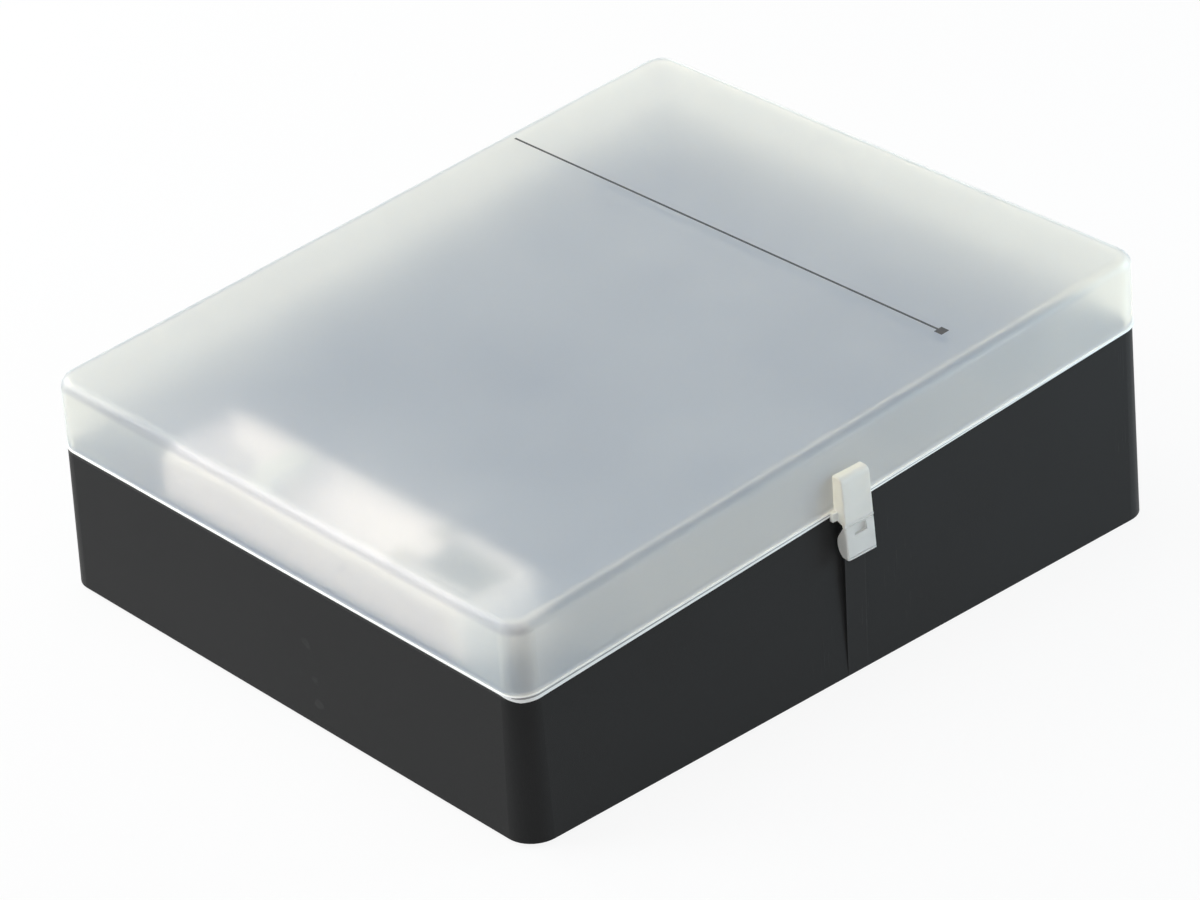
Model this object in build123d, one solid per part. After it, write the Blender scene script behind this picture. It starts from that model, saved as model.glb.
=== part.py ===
from build123d import *
import os
from math import atan, cos, hypot, radians, sin, tan

# Desktop box that stores and tests batteries: a dark wedge-shaped base with cell trays and a
# battery tester inside, a frosted lid hinged on the left, and a snap latch on the right.
# Millimetres. +X is the latch side, +Y the tall back, +Z up; the origin is on the table, mid box.

# Case outline
CASE_WIDTH = 171.0  # across the bottom edge
CASE_LENGTH = 200.0  # along the bottom edge
RIM_FRONT = 37.0  # base height at the low front
RIM_BACK = 51.6  # base height at the tall back
LID_HEIGHT = 19.0  # upright, from the rim to the lid's top
BASE_DRAFT = 1.5  # degrees that the base's walls lean in
LID_DRAFT = 0.5  # degrees that the lid's walls lean in
CORNER_R = 7.2  # upright corners, at the bottom edge
LID_TOP_R = 3.0  # round of the lid's top edge
BASE_WALL = 2.4
LID_WALL = 1.7
SEAM_CHAMFER = 0.4  # on the lid's and the base's edge at the rim

# Lip on the base that keeps the lid in place
LIP_HEIGHT = 0.55  # above the rim
LIP_WALL = 1.2
LIP_ROOT = 4.0  # how far the lip's root runs down the wall
LID_CLEARANCE = 0.4  # between the lip and the lid's wall

# Underside
PLATE_THICK = 2.4
PLATE_RECESS = 0.4  # the plate sits this far inside the skirt
PLATE_GAP = 0.4  # between the plate and the skirt
FOOT_R = 6.0
FOOT_PROUD = 0.8  # below the skirt
FOOT_POCKET = 1.0  # depth of the plate's pocket
FOOT_FIT = 0.15
FOOT_INSET = 17.0  # foot centre from the case's bottom edges
BOSS_R = 3.2
BOSS_HEIGHT = 15.0
BOSS_INSET = 3.2  # boss centre from the wall's inner face
BOSS_END_INSET = 14.0  # outer bosses from the case's ends
SCREW_R = 1.25
SCREW_LENGTH = 9.0
SCREW_HEAD_R = 2.2
SCREW_HEAD = 1.1
SCREW_FIT = 0.05  # around a screw in its hole

# Hinge on the left wall
HINGE_OUT = 2.8  # axis from the wall at the rim
HINGE_DROP = 2.6  # axis below the rim
HINGE_INSET = 38.0  # each hinge's middle from the case's end
KNUCKLE_R = 2.4
KNUCKLE_LENGTH = 10.0  # the lid's knuckle
LUG_LENGTH = 5.0  # each of the base's lugs
LUG_ROOT = 7.0  # gusset below the axis
ARM_HEIGHT = 8.5  # lid's arm above the rim
ARM_THICK = 1.8
HINGE_GAP = 0.35  # side gap, and arm to wall
PIN_R = 1.0
PIN_FIT = 0.05  # running fit in the lid's knuckle
PIN_GRIP = 0.01  # close fit in the base's lugs

# Snap latch on the right wall, with its profile in offsets from the wall and the rim
LATCH_Y = 0.8
LATCH_WIDTH = 9.0
BRACKET_TOP = 9.3  # above the rim
BRACKET_ROUND = 1.5
LATCH_EDGE_R = 0.45  # side edges of the bracket and the flap
BRACKET_BACK_DROP = 1.8  # below the rim, at the back
LATCH_FRONT = 3.45  # front face from the wall, at the rim
LATCH_LEAN = 0.077  # front face moves out by this per millimetre down
CREASE_DROP = 2.95  # hinge line below the rim
CREASE_DEPTH = 0.6  # hinge line behind the front face
CREASE_R = 0.5
CREASE_FIT = 0.06
CREASE_UP = 50.0  # degrees of the groove above the hinge line
CREASE_SPARE = 2.0  # degrees of the groove beyond the flap's swing
FLAP_DROP = 11.5  # flap's bottom below the rim
FLAP_WEB = 1.35  # thickness of the flap's front
FLAP_CHEEK = 1.0
CHEEK_TOP = (1.06, -6.2)
CHEEK_SWELL = (0.85, -8.7)
CHEEK_FOOT = (2.4, -11.3)
FLAP_BAR = 1.3  # solid stretch below the hinge line
POCKET_WIDTH = 3.9  # thin place in the flap, below its groove
POCKET_HEIGHT = 2.4
POCKET_DEPTH = 0.7
FLAP_LIP = 0.55  # fine groove above the flap's bottom edge
LIP_GROOVE = 0.3  # width and depth of that groove
LATCH_GAP = 0.3  # flap to post, bracket to base
EAR_WIDTH = 1.6
EAR_THICK = 1.0
EAR_RISE = 0.3
FLAP_MAX = 90.0  # degrees that the flap swings out

# Post on the base that the flap snaps over
POST_PROUD = 1.7  # from the wall, at its top
BEAD_R = 0.8
BEAD_DROP = 8.2  # snap bead below the rim
SNAP_GAP = 0.2  # bead to flap

# Cell trays, whose wells share the room along the case in proportion to these sizes
D_WELL = 35.2
C_WELL = 27.2
AA_WELL = 15.4
AAA_WELL = 11.4
NINE_VOLT_WELL = 18.6
D_COLUMNS = 4
C_COLUMNS = 5
TROUGH_COLUMNS = 2  # long troughs of the two smallest sizes
NINE_VOLT_COLUMNS = 5
WELL_R = 1.5
WELL_WALL = 2.0  # between wells, across the case
ROW_WALL = 2.67  # between rows, along the case
TRAY_FLOOR = 1.6
TRAY_GAP = 0.4  # around each tray
FLANGE_THICK = 1.6
DECK_DROP = 1.6  # decks below the rim

# Battery tester, standing on edge behind the front wall
CUP_WIDTH = 27.9  # coin cell cup, left of the tester
TESTER_END = 12.0  # tester's right end from the trays' right side
TESTER_DEPTH = 21.6
TESTER_RISE = 13.5  # its top above the rim at the front
TESTER_CORNER_R = 5.0
TESTER_EDGE_R = 1.5
TESTER_WALL = 2.0
TESTER_FIT = 0.4  # around the tester in its slot
RIB_THICK = 1.6  # ribs that hold the tester's ends

# Cradle in the tester's top, where a cell lies to be tested
CRADLE_R = 8.6
CRADLE_DEPTH = 6.5
CRADLE_WALL = 1.6
CRADLE_END = 2.5  # cradle's left end from the tester's end
SLIDER_TRAVEL = 21.0
SLIDER_LENGTH = 6.5
SLIDER_FIT = 0.25
SLIDER_PROUD = 2.6  # thumb grip above the tester's top
SLIDER_GRIP_WIDTH = 12.0
SLIDER_RIDGES = 3
SLIDER_SLOT = 3.2
SLIDER_NECK = 2.6
SLIDER_FOOT_WIDTH = 7.0
SLIDER_FOOT_THICK = 1.5
CONTACT_THICK = 0.6
CONTACT_WIDTH = 7.0
CONTACT_DROP = 0.6  # contact's top below the tester's top

# Spring behind the slider
SPRING_R = 2.2
SPRING_WIRE_R = 0.3
SPRING_TURNS = 7
SPRING_PACKED = 6.0  # room for the spring when the slider is pushed home
SPRING_END_GAP = 0.3
SPRING_FLOOR_GAP = 0.3

# Display, board and terminals of the tester
WINDOW_X = 20.0
WINDOW_Y = 13.0
WINDOW_INSET = 3.5  # window's edge from the tester's right end
LENS_THICK = 1.4
LENS_FIT = 0.1
DISPLAY_THICK = 2.6
DISPLAY_MARGIN = 1.5
BOARD_THICK = 1.6
BOARD_GAP = 0.3
LEDGE = 2.4  # shell's ledges under the board
TERMINAL_ROOM = 9.0  # between the window and the cradle
TERMINAL_R = 2.7
TERMINAL_PITCH = 12.7
TERMINAL_PROUD = 1.2
TERMINAL_FIT = 0.15
TESTER_BOSS_R = 3.0
TESTER_SCREW_R = 1.2
TESTER_SCREW_HEAD_R = 2.2
TESTER_SCREW_HEAD = 1.5
TESTER_SCREW_REACH = 6.0  # past the split, into the back shell
TESTER_SCREW_INSET = 6.5  # from the tester's sides and bottom
TESTER_SCREW_RISE = 16.0  # between the lower and the upper screws

# Heights and planes that follow from the sizes above
RISE = (RIM_BACK - RIM_FRONT) / CASE_LENGTH
SLOPE = atan(RISE)
SKIRT_Z = FOOT_PROUD
PLATE_BOTTOM = SKIRT_Z + PLATE_RECESS
PLATE_TOP = PLATE_BOTTOM + PLATE_THICK
RIM_NORMAL = (0, -sin(SLOPE), cos(SLOPE))


def rim_z(y):
    """Height of the rim plane at a place along the case."""
    return SKIRT_Z + RIM_FRONT + RISE * (y + CASE_LENGTH / 2)


RIM_MID = rim_z(0)
CASE_TOP = rim_z(CASE_LENGTH / 2) + LID_HEIGHT


def base_lean(z):
    """How far the base's walls have leaned in at a height."""
    return (z - SKIRT_Z) * tan(radians(BASE_DRAFT))


def wall_x(z):
    """Half width of the base's outside at a height."""
    return CASE_WIDTH / 2 - base_lean(z)


def plane_above_rim(height):
    """Plane parallel to the rim, an upright distance above it."""
    return Plane(origin=(0, 0, RIM_MID + height), x_dir=(1, 0, 0), z_dir=RIM_NORMAL)


LIP_INSET = LID_WALL + LID_CLEARANCE
LIP_INNER = LIP_INSET + LIP_WALL
BOSS_X = CASE_WIDTH / 2 - BASE_WALL - BOSS_INSET
BOSS_Y = CASE_LENGTH / 2 - BOSS_END_INSET
BOSS_PLACES = [(side * BOSS_X, row * BOSS_Y) for side in (-1, 1) for row in (-1, 0, 1)]
FOOT_PLACES = [
    (side * (CASE_WIDTH / 2 - FOOT_INSET), end * (CASE_LENGTH / 2 - FOOT_INSET))
    for side in (-1, 1)
    for end in (-1, 1)
]

# Inside faces that the trays and the tester keep clear of
INNER_X = wall_x(rim_z(CASE_LENGTH / 2)) - LIP_INNER
INNER_FRONT = -CASE_LENGTH / 2 + base_lean(rim_z(-CASE_LENGTH / 2)) + LIP_INNER
INNER_BACK = CASE_LENGTH / 2 - base_lean(rim_z(CASE_LENGTH / 2)) - LIP_INNER
TRAY_HALF = BOSS_X - BOSS_R - TRAY_GAP
FLANGE_HALF = INNER_X - TRAY_GAP

# Tester's faces
TESTER_LEFT = -TRAY_HALF + CUP_WIDTH + RIB_THICK + 2 * TESTER_FIT
TESTER_RIGHT = TRAY_HALF - TESTER_END
TESTER_WIDTH = TESTER_RIGHT - TESTER_LEFT
TESTER_CENTRE = (TESTER_LEFT + TESTER_RIGHT) / 2
TESTER_FRONT = INNER_FRONT + TESTER_FIT
TESTER_BACK = TESTER_FRONT + TESTER_DEPTH
TESTER_MID = (TESTER_FRONT + TESTER_BACK) / 2
TESTER_TOP = rim_z(-CASE_LENGTH / 2) + TESTER_RISE
TESTER_HEIGHT = TESTER_TOP - PLATE_TOP
WINDOW_RIGHT = TESTER_RIGHT - WINDOW_INSET
WINDOW_LEFT = WINDOW_RIGHT - WINDOW_X
CRADLE_LEFT = TESTER_LEFT + CRADLE_END
CRADLE_RIGHT = WINDOW_LEFT - TERMINAL_ROOM
CRADLE_FLOOR = TESTER_TOP - CRADLE_DEPTH
CRADLE_AXIS = CRADLE_FLOOR + CRADLE_R
SLIDER_LEFT = CRADLE_LEFT + SPRING_PACKED + SLIDER_TRAVEL
SLIDER_RIGHT = SLIDER_LEFT + SLIDER_LENGTH
TERMINAL_X = (CRADLE_RIGHT + CRADLE_WALL + WINDOW_LEFT) / 2
BOARD_LEFT = CRADLE_RIGHT + CRADLE_WALL + BOARD_GAP
BOARD_RIGHT = TESTER_RIGHT - TESTER_WALL - BOARD_GAP
BOARD_TOP = TESTER_TOP - LENS_THICK - DISPLAY_THICK
BOARD_BOTTOM = BOARD_TOP - BOARD_THICK
TRAY_AREA_FRONT = TESTER_BACK + TESTER_FIT
TRAY_AREA_BACK = INNER_BACK - TRAY_GAP

# Trays from back to front: wells across the case, and the size of each row along it
TRAY_ROWS = {
    "d_cell_tray": (D_COLUMNS, [D_WELL]),
    "c_cell_tray": (C_COLUMNS, [C_WELL]),
    "aa_cell_tray": (TROUGH_COLUMNS, [AA_WELL, AA_WELL]),
    "aaa_cell_tray": (TROUGH_COLUMNS, [AAA_WELL, AAA_WELL]),
    "nine_volt_tray": (NINE_VOLT_COLUMNS, [NINE_VOLT_WELL]),
}


def block(x0, x1, y0, y1, z0, z1):
    """Plain block between two corners."""
    centre = Pos((x0 + x1) / 2, (y0 + y1) / 2, (z0 + z1) / 2)
    return centre * Box(x1 - x0, y1 - y0, z1 - z0)


def upright_block(x0, x1, y0, y1, z0, z1, radius):
    """Block with rounded upright edges."""
    outline = Pos((x0 + x1) / 2, (y0 + y1) / 2, z0) * RectangleRounded(x1 - x0, y1 - y0, radius)
    return extrude(outline, amount=z1 - z0, dir=(0, 0, 1))


def rod(x, y, z0, z1, radius):
    """Upright round bar."""
    return Pos(x, y, (z0 + z1) / 2) * Cylinder(radius, z1 - z0)


def bar_x(x0, x1, y, z, radius):
    """Round bar along X."""
    return Pos((x0 + x1) / 2, y, z) * Rot(0, 90, 0) * Cylinder(radius, x1 - x0)


def bar_y(x, y0, y1, z, radius):
    """Round bar along Y."""
    return Pos(x, (y0 + y1) / 2, z) * Rot(90, 0, 0) * Cylinder(radius, y1 - y0)


def drafted_block(width, length, radius, z0, z1, draft):
    """Rounded block that has the given size at z0 and leans in going up."""
    outline = Pos(0, 0, z0) * RectangleRounded(width, length, radius)
    return extrude(outline, amount=z1 - z0, dir=(0, 0, 1), taper=draft)


def base_block(inset):
    """The base's outside, moved in by an inset and not yet cut at the rim."""
    width = CASE_WIDTH - 2 * inset
    length = CASE_LENGTH - 2 * inset
    return drafted_block(width, length, CORNER_R - inset, SKIRT_Z, CASE_TOP, BASE_DRAFT)


def lid_block(inset):
    """The lid's outside, moved in by an inset, from below the rim to above its top."""
    z_low = rim_z(-CASE_LENGTH / 2) - LIP_ROOT
    shift = inset - (RIM_MID - z_low) * tan(radians(LID_DRAFT)) + base_lean(RIM_MID)
    width = CASE_WIDTH - 2 * shift
    length = CASE_LENGTH - 2 * shift
    z_high = CASE_TOP + LID_TOP_R
    return drafted_block(width, length, CORNER_R - shift, z_low, z_high, LID_DRAFT)


def lowest_face(shape):
    """The face at the lower end, square to the rim plane's normal."""
    return shape.faces().sort_by(Axis((0, 0, 0), RIM_NORMAL))[0]


def highest_face(shape):
    """The face at the upper end, square to the rim plane's normal."""
    return shape.faces().sort_by(Axis((0, 0, 0), RIM_NORMAL))[-1]


def hinge_centres():
    """Middle of each hinge, as distances along the sloped rim."""
    along = CASE_LENGTH / 2 - HINGE_INSET
    return (-along, along)


def hinge_plane(along):
    """Section plane of the left hinge: local X points out of the wall, local Y up from the rim."""
    y = along * cos(SLOPE)
    out = (-1, 0, 0)
    return Plane(origin=(-wall_x(RIM_MID), y, rim_z(y)), x_dir=out, z_dir=(0, cos(SLOPE), sin(SLOPE)))


def hinge_bar(along, length, radius):
    """Round bar on the hinge axis."""
    return hinge_plane(along) * Pos(HINGE_OUT, -HINGE_DROP, 0) * Cylinder(radius, length)


def lug_places():
    """Middles of the base's lugs along the rim."""
    step = (KNUCKLE_LENGTH + LUG_LENGTH) / 2 + HINGE_GAP
    return [centre + side * step for centre in hinge_centres() for side in (-1, 1)]


def base_lug(along):
    """One lug of the hinge with its gusset down the base's wall."""
    sunk = BASE_WALL / 2
    gusset = Polygon(
        (-sunk, -HINGE_DROP + KNUCKLE_R),
        (HINGE_OUT, -HINGE_DROP + KNUCKLE_R),
        (HINGE_OUT + KNUCKLE_R, -HINGE_DROP),
        (0, -HINGE_DROP - LUG_ROOT),
        (-sunk, -HINGE_DROP - LUG_ROOT),
        align=None,
    )
    web = extrude(hinge_plane(along) * gusset, amount=LUG_LENGTH / 2, both=True)
    corner = web - hinge_plane(along) * Pos(HINGE_OUT + KNUCKLE_R, -HINGE_DROP + KNUCKLE_R, 0) * Box(
        2 * KNUCKLE_R, 2 * KNUCKLE_R, 2 * LUG_LENGTH
    )
    return corner + hinge_bar(along, LUG_LENGTH, KNUCKLE_R)


def lid_arm(along):
    """The lid's hinge arm, from its wall down to the knuckle."""
    edge = Polygon(
        (-LID_WALL / 2, ARM_HEIGHT),
        (ARM_THICK, ARM_HEIGHT - ARM_THICK),
        (HINGE_OUT + KNUCKLE_R, -HINGE_DROP),
        (HINGE_GAP, -HINGE_DROP),
        (HINGE_GAP, SEAM_CHAMFER),
        (-LID_WALL / 2, SEAM_CHAMFER),
        align=None,
    )
    arm = extrude(hinge_plane(along) * edge, amount=KNUCKLE_LENGTH / 2, both=True)
    return arm + hinge_bar(along, KNUCKLE_LENGTH, KNUCKLE_R)


def latch_plane():
    """Section plane of the latch: local X points out of the wall, local Y up from the rim."""
    z = rim_z(LATCH_Y)
    return Plane(origin=(wall_x(z), LATCH_Y, z), x_dir=(1, 0, 0), z_dir=(0, -1, 0))


def latch_front(w):
    """Front face of the latch, out from the wall, at a height above the rim."""
    return LATCH_FRONT - LATCH_LEAN * w


def crease():
    """Hinge line of the flap in the latch's section plane."""
    return (latch_front(-CREASE_DROP) - CREASE_DEPTH, -CREASE_DROP)


def latch_slab(outline, width):
    """Outline in the latch's section plane, given its width along the wall."""
    return extrude(latch_plane() * outline, amount=width / 2, both=True)


def soft_slab(outline):
    """The latch's outline in its full width, with the side edges of its front and top rounded."""
    slab = latch_slab(outline, LATCH_WIDTH)
    sides = slab.faces().filter_by(Axis.Y).edges()
    outer = crease()[0] + CREASE_DEPTH / 2
    soft = []
    for edge in sides:
        middle = latch_plane().to_local_coords(edge.center())
        if middle.X > outer or middle.Y > BRACKET_TOP - BRACKET_ROUND:
            soft.append(edge)
    return fillet(soft, LATCH_EDGE_R)


def crease_bar(radius, width):
    """Round bar on the flap's hinge line."""
    u, w = crease()
    return latch_plane() * Pos(u, w, 0) * Cylinder(radius, width)


def post_width():
    """Width of the base's post, which fits between the flap's cheeks."""
    return LATCH_WIDTH - 2 * (FLAP_CHEEK + LATCH_GAP)


def flap_web_back(w):
    """Back face of the flap's front web."""
    return latch_front(w) - FLAP_WEB


def latch_post():
    """Post on the base's right wall with the bead that the flap snaps over."""
    rim = rim_z(LATCH_Y)
    foot = CASE_WIDTH / 2 - wall_x(rim)
    top = -CREASE_DROP - FLAP_BAR - LATCH_GAP
    outline = Polygon(
        (-BASE_WALL / 2, top),
        (POST_PROUD, top),
        (foot, SKIRT_Z - rim),
        (foot - BASE_WALL, SKIRT_Z - rim),
        align=None,
    )
    bead_u = flap_web_back(-BEAD_DROP) - SNAP_GAP - BEAD_R
    bead = latch_plane() * Pos(bead_u, -BEAD_DROP, 0) * Cylinder(BEAD_R, post_width() - 2 * LATCH_GAP)
    return latch_slab(outline, post_width()) + bead


def tester_ribs():
    """Two ribs inside the base's front wall that hold the tester's ends."""
    top = rim_z(-CASE_LENGTH / 2) - DECK_DROP
    front = -CASE_LENGTH / 2 + BASE_WALL / 2
    left = TESTER_LEFT - TESTER_FIT
    right = TESTER_RIGHT + TESTER_FIT
    ribs = block(left - RIB_THICK, left, front, TESTER_BACK, PLATE_TOP + PLATE_GAP, top)
    ribs += block(right, right + RIB_THICK, front, TESTER_BACK, PLATE_TOP + PLATE_GAP, top)
    return ribs & base_block(BASE_WALL / 2)


def base_shell():
    """Wedge-shaped skirt with its lip, screw bosses, hinge lugs, latch post and tester ribs."""
    outer = split(base_block(0), bisect_by=plane_above_rim(0), keep=Keep.BOTTOM)
    outer = chamfer(highest_face(outer).outer_wire().edges(), SEAM_CHAMFER)
    shell = outer - base_block(BASE_WALL)
    lip = split(base_block(LIP_INSET), bisect_by=plane_above_rim(LIP_HEIGHT), keep=Keep.BOTTOM)
    lip = split(lip, bisect_by=plane_above_rim(-LIP_ROOT), keep=Keep.TOP)
    shell += lip - base_block(LIP_INNER)
    for x, y in BOSS_PLACES:
        shell += rod(x, y, PLATE_TOP, PLATE_TOP + BOSS_HEIGHT, BOSS_R)
    shell += tester_ribs()
    shell += latch_post()
    for along in lug_places():
        shell += base_lug(along)
    for x, y in BOSS_PLACES:
        shell -= rod(x, y, PLATE_TOP, PLATE_TOP + SCREW_LENGTH, SCREW_R + SCREW_FIT)
    for along in hinge_centres():
        shell -= hinge_bar(along, 4 * KNUCKLE_LENGTH, PIN_R + PIN_GRIP)
    return shell


def lid():
    """Frosted lid: a shallow cap with rounded top edges and two hinge arms."""
    outer = split(lid_block(0), bisect_by=plane_above_rim(0), keep=Keep.TOP)
    outer = split(outer, bisect_by=plane_above_rim(LID_HEIGHT), keep=Keep.BOTTOM)
    outer = fillet(highest_face(outer).edges(), LID_TOP_R)
    outer = chamfer(lowest_face(outer).outer_wire().edges(), SEAM_CHAMFER)
    ceiling = plane_above_rim(LID_HEIGHT - LID_WALL)
    inner = split(lid_block(LID_WALL), bisect_by=ceiling, keep=Keep.BOTTOM)
    inner = fillet(highest_face(inner).edges(), LID_TOP_R - LID_WALL)
    cap = outer - inner
    for along in hinge_centres():
        cap += lid_arm(along)
        cap -= hinge_bar(along, 2 * KNUCKLE_LENGTH, PIN_R + PIN_FIT)
    return cap


def hinge_pin(along):
    """Steel pin through one hinge."""
    return hinge_bar(along, KNUCKLE_LENGTH + 2 * (LUG_LENGTH + HINGE_GAP), PIN_R)


def latch_bracket():
    """Upper block of the latch, seated on the lid's wall, with an ear at each side of the rim."""
    u, w = crease()
    groove = w + CREASE_DEPTH * tan(radians(CREASE_UP))
    outline = Polygon(
        (-LID_WALL, BRACKET_TOP),
        (latch_front(BRACKET_TOP), BRACKET_TOP),
        (latch_front(groove), groove),
        (u, w),
        (LATCH_GAP, -BRACKET_BACK_DROP),
        (LATCH_GAP, SEAM_CHAMFER),
        (-LID_WALL, SEAM_CHAMFER),
        align=None,
    )
    top_corner = outline.vertices().sort_by_distance((latch_front(BRACKET_TOP), BRACKET_TOP))[0]
    outline = fillet(top_corner, BRACKET_ROUND)
    bracket = soft_slab(outline) + crease_bar(CREASE_R, LATCH_WIDTH)
    ear = Polygon(
        (LATCH_GAP, EAR_RISE),
        (LATCH_GAP + EAR_THICK, EAR_RISE),
        (LATCH_GAP + EAR_THICK, -BRACKET_BACK_DROP),
        (LATCH_GAP, -BRACKET_BACK_DROP),
        align=None,
    )
    bracket += latch_slab(ear, LATCH_WIDTH + 2 * EAR_WIDTH)
    return bracket - lid_block(0)


def latch_flap():
    """Lower flap of the latch: a front web with two swelling cheeks that straddle the post."""
    u, w = crease()
    groove = w - CREASE_DEPTH * tan(radians(FLAP_MAX - CREASE_UP + CREASE_SPARE))
    front = [(u, w), (latch_front(groove), groove), (latch_front(-FLAP_DROP), -FLAP_DROP), CHEEK_FOOT]
    edge = [Line(a, b) for a, b in zip(front, front[1:])]
    edge.append(ThreePointArc(CHEEK_FOOT, CHEEK_SWELL, CHEEK_TOP))
    edge.append(Line(CHEEK_TOP, (u, w)))
    flap = soft_slab(make_face(edge))
    flap -= crease_bar(CREASE_R + CREASE_FIT, 2 * LATCH_WIDTH)
    bar = w - FLAP_BAR
    hollow = Polygon(
        (-LATCH_FRONT, bar),
        (flap_web_back(bar), bar),
        (flap_web_back(-2 * FLAP_DROP), -2 * FLAP_DROP),
        (-LATCH_FRONT, -2 * FLAP_DROP),
        align=None,
    )
    flap -= latch_slab(hollow, LATCH_WIDTH - 2 * FLAP_CHEEK)
    pocket_middle = groove - POCKET_HEIGHT / 2
    pocket = latch_plane() * Pos(latch_front(pocket_middle), pocket_middle, 0)
    flap -= pocket * Box(2 * POCKET_DEPTH, POCKET_HEIGHT, POCKET_WIDTH)
    lip = FLAP_LIP - FLAP_DROP
    line = latch_plane() * Pos(latch_front(lip), lip, 0)
    return flap - line * Box(2 * LIP_GROOVE, LIP_GROOVE, 2 * LATCH_WIDTH)


def bottom_plate():
    """Plate that closes the base, with countersunk screw holes and pockets for the feet."""
    margin = BASE_WALL + PLATE_GAP
    half_x = CASE_WIDTH / 2 - margin
    half_y = CASE_LENGTH / 2 - margin
    plate = upright_block(-half_x, half_x, -half_y, half_y, PLATE_BOTTOM, PLATE_TOP, CORNER_R - margin)
    for x, y in BOSS_PLACES:
        plate -= rod(x, y, PLATE_BOTTOM, PLATE_TOP, SCREW_R + SCREW_FIT)
        plate -= screw_head(x, y, SCREW_FIT)
    for x, y in FOOT_PLACES:
        plate -= rod(x, y, PLATE_BOTTOM, PLATE_BOTTOM + FOOT_POCKET, FOOT_R + FOOT_FIT)
    return plate


def screw_head(x, y, extra):
    """Countersunk head at the underside of the plate."""
    cone = Cone(SCREW_HEAD_R + extra, SCREW_R + extra, SCREW_HEAD)
    return Pos(x, y, PLATE_BOTTOM + SCREW_HEAD / 2) * cone


def bottom_screws():
    """Screws that hold the plate to the bosses."""
    neck = PLATE_BOTTOM + SCREW_HEAD
    tip = PLATE_TOP + SCREW_LENGTH - SCREW_FIT
    return [screw_head(x, y, 0) + rod(x, y, neck, tip, SCREW_R) for x, y in BOSS_PLACES]


def rubber_feet():
    """Round pads in the plate's pockets."""
    return [rod(x, y, 0, PLATE_BOTTOM + FOOT_POCKET, FOOT_R) for x, y in FOOT_PLACES]


def well_scale():
    """How far each well grows or shrinks, so that all the rows fill the room along the case."""
    depths = [depth for _, rows in TRAY_ROWS.values() for depth in rows]
    walls = ROW_WALL * (len(depths) + len(TRAY_ROWS))
    gaps = TRAY_GAP * len(TRAY_ROWS) - TRAY_GAP
    return (TRAY_AREA_BACK - TRAY_AREA_FRONT - walls - gaps) / sum(depths)


def tray_spans():
    """Front and back of each tray, from the back row to the front row."""
    spans = {}
    back = TRAY_AREA_BACK
    for name, (_, rows) in TRAY_ROWS.items():
        front = back - ROW_WALL - sum(depth * well_scale() + ROW_WALL for depth in rows)
        spans[name] = (front, back)
        back = front - TRAY_GAP
    return spans


def tray_wells(name):
    """Wells of one tray as (x0, x1, y0, y1)."""
    columns, rows = TRAY_ROWS[name]
    pitch = (2 * TRAY_HALF - WELL_WALL) / columns
    y0 = tray_spans()[name][0] + ROW_WALL
    wells = []
    for depth in rows:
        y1 = y0 + depth * well_scale()
        for column in range(columns):
            x0 = -TRAY_HALF + WELL_WALL + column * pitch
            wells.append((x0, x0 + pitch - WELL_WALL, y0, y1))
        y0 = y1 + ROW_WALL
    return wells


def deck_z(front):
    """Level of a tray's top, set by the rim at the tray's front."""
    return rim_z(front) - DECK_DROP


def open_tray(x0, x1, y0, y1, top, wells):
    """Open-topped tray with one pocket for each well."""
    tray = block(x0, x1, y0, y1, PLATE_TOP, top)
    for left, right, front, back in wells:
        tray -= upright_block(left, right, front, back, PLATE_TOP + TRAY_FLOOR, top, WELL_R)
    return tray


def cell_tray(name):
    """Tray for one size of cell, with a flange that reaches the base's lip."""
    front, back = tray_spans()[name]
    top = deck_z(front)
    tray = open_tray(-TRAY_HALF, TRAY_HALF, front, back, top, tray_wells(name))
    for side in (-1, 1):
        ends = sorted((side * TRAY_HALF, side * FLANGE_HALF))
        tray += block(*ends, front, back, top - FLANGE_THICK, top)
    return tray


def coin_cell_cup():
    """Small open cup in the front left corner, beside the tester."""
    left = -TRAY_HALF
    right = left + CUP_WIDTH
    top = rim_z(-CASE_LENGTH / 2) - DECK_DROP
    pocket = (left + WELL_WALL, right - WELL_WALL, TESTER_FRONT + WELL_WALL, TESTER_BACK - WELL_WALL)
    return open_tray(left, right, TESTER_FRONT, TESTER_BACK, top, [pocket])


def tester_screw_places():
    """Screws of the tester as (x, z)."""
    low = PLATE_TOP + TESTER_SCREW_INSET
    left = TESTER_LEFT + TESTER_SCREW_INSET
    right = TESTER_RIGHT - TESTER_SCREW_INSET
    return [(x, z) for x in (left, right) for z in (low, low + TESTER_SCREW_RISE)]


def tester_block(inset):
    """The tester's outside, moved in by an inset."""
    width = TESTER_WIDTH - 2 * inset
    height = TESTER_HEIGHT - 2 * inset
    outline = RectangleRounded(width, height, TESTER_CORNER_R - inset)
    section = Plane(
        origin=(TESTER_CENTRE, TESTER_BACK - inset, PLATE_TOP + TESTER_HEIGHT / 2),
        x_dir=(1, 0, 0),
        z_dir=(0, -1, 0),
    )
    return extrude(section * outline, amount=TESTER_DEPTH - 2 * inset)


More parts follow.
